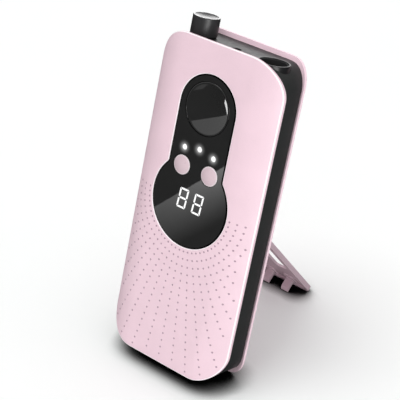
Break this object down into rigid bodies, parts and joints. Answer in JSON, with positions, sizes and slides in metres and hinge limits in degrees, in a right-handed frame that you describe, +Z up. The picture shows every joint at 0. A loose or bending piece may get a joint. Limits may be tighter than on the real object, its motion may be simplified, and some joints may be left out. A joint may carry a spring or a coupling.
{
  "type": "nail drill control unit",
  "caption": "Hand-sized control unit of a rechargeable nail drill: pink shells, gloss black keyhole panel, speed knob, handpiece holder and a folding stand.",
  "frame": {"origin": "middle of the underside of the rear foot, on the plane the unit stands on", "axes": "+Z up, +Y from the front face towards the stand, +X to the right seen from the front"},
  "size_m": [0.075, 0.1094, 0.1769],
  "materials": {
    "cover_pink": "satin moulded plastic, pale pink",
    "stand_pink": "satin moulded plastic, pale pink",
    "button_pink": "semi-gloss plastic, pale pink",
    "frame_black": "satin black plastic",
    "panel_gloss": "high-gloss black",
    "knob_black": "semi-gloss black",
    "rubber_black": "matt rubber",
    "lamp_white": "lit white diffuser",
    "steel": "plated steel",
    "board_green": "solder-masked laminate",
    "cell_wrap": "shrink wrap",
    "wire_red": "wire insulation",
    "plunger_pink": "moulded plastic",
    "plain_black": "moulded plastic"
  },
  "bodies": {
    "housing": {"front_cover": "cover_pink", "mid_frame": "frame_black", "back_cover": "cover_pink", "rear_foot": "rubber_black", "hinge_pin": "steel", "cover_screw_1": "steel", "cover_screw_2": "steel", "cover_screw_3": "steel", "cover_screw_4": "steel", "control_panel": "panel_gloss", "display_light_guide": "lamp_white", "display_module": "plain_black", "led_left": "lamp_white", "led_middle": "lamp_white", "led_right": "lamp_white", "start_switch": "plain_black", "left_switch": "plain_black", "right_switch": "plain_black", "potentiometer": "steel", "potentiometer_nut": "steel", "handpiece_holder": "knob_black", "holder_liner": "rubber_black", "handpiece_jack": "plain_black", "main_board": "board_green", "board_screw_1": "steel", "board_screw_2": "steel", "board_screw_3": "steel", "board_screw_4": "steel", "driver_chip": "plain_black", "inductor": "plain_black", "capacitor": "steel", "battery_cell_left": "cell_wrap", "battery_cell_right": "cell_wrap", "battery_cradle": "plain_black", "battery_lead_left": "wire_red", "battery_lead_right": "wire_red", "jack_lead_left": "wire_red", "jack_lead_right": "wire_red", "charge_port": "steel"},
    "knob": {"speed_knob": "knob_black", "potentiometer_shaft": "steel"},
    "start_key": {"start_button": "panel_gloss", "start_plunger": "plunger_pink"},
    "left_key": {"left_button": "button_pink", "left_plunger": "plunger_pink"},
    "right_key": {"right_button": "button_pink", "right_plunger": "plunger_pink"},
    "stand": {"stand": "stand_pink"}
  },
  "joints": [
    {"name": "stand_fold", "type": "hinge", "parent": "housing", "child": "stand", "pos_m": [0, 0.03037, 0.07704], "axis": [-1, 0, 0], "range_deg": [0, 53]},
    {"name": "knob_turn", "type": "hinge", "parent": "housing", "child": "knob", "pos_m": [-0.0196, 0.03741, 0.16523], "axis": [0, -0.2874, -0.9578], "range_deg": [0, 280]},
    {"name": "start_press", "type": "slide", "parent": "housing", "child": "start_key", "axis": [0, 0.9578, -0.2874], "range_m": [0, 0.001], "stiffness_N_per_m": 400},
    {"name": "left_press", "type": "slide", "parent": "housing", "child": "left_key", "axis": [0, 0.9578, -0.2874], "range_m": [0, 0.0008], "stiffness_N_per_m": 400},
    {"name": "right_press", "type": "slide", "parent": "housing", "child": "right_key", "axis": [0, 0.9578, -0.2874], "range_m": [0, 0.0008], "stiffness_N_per_m": 400}
  ]
}
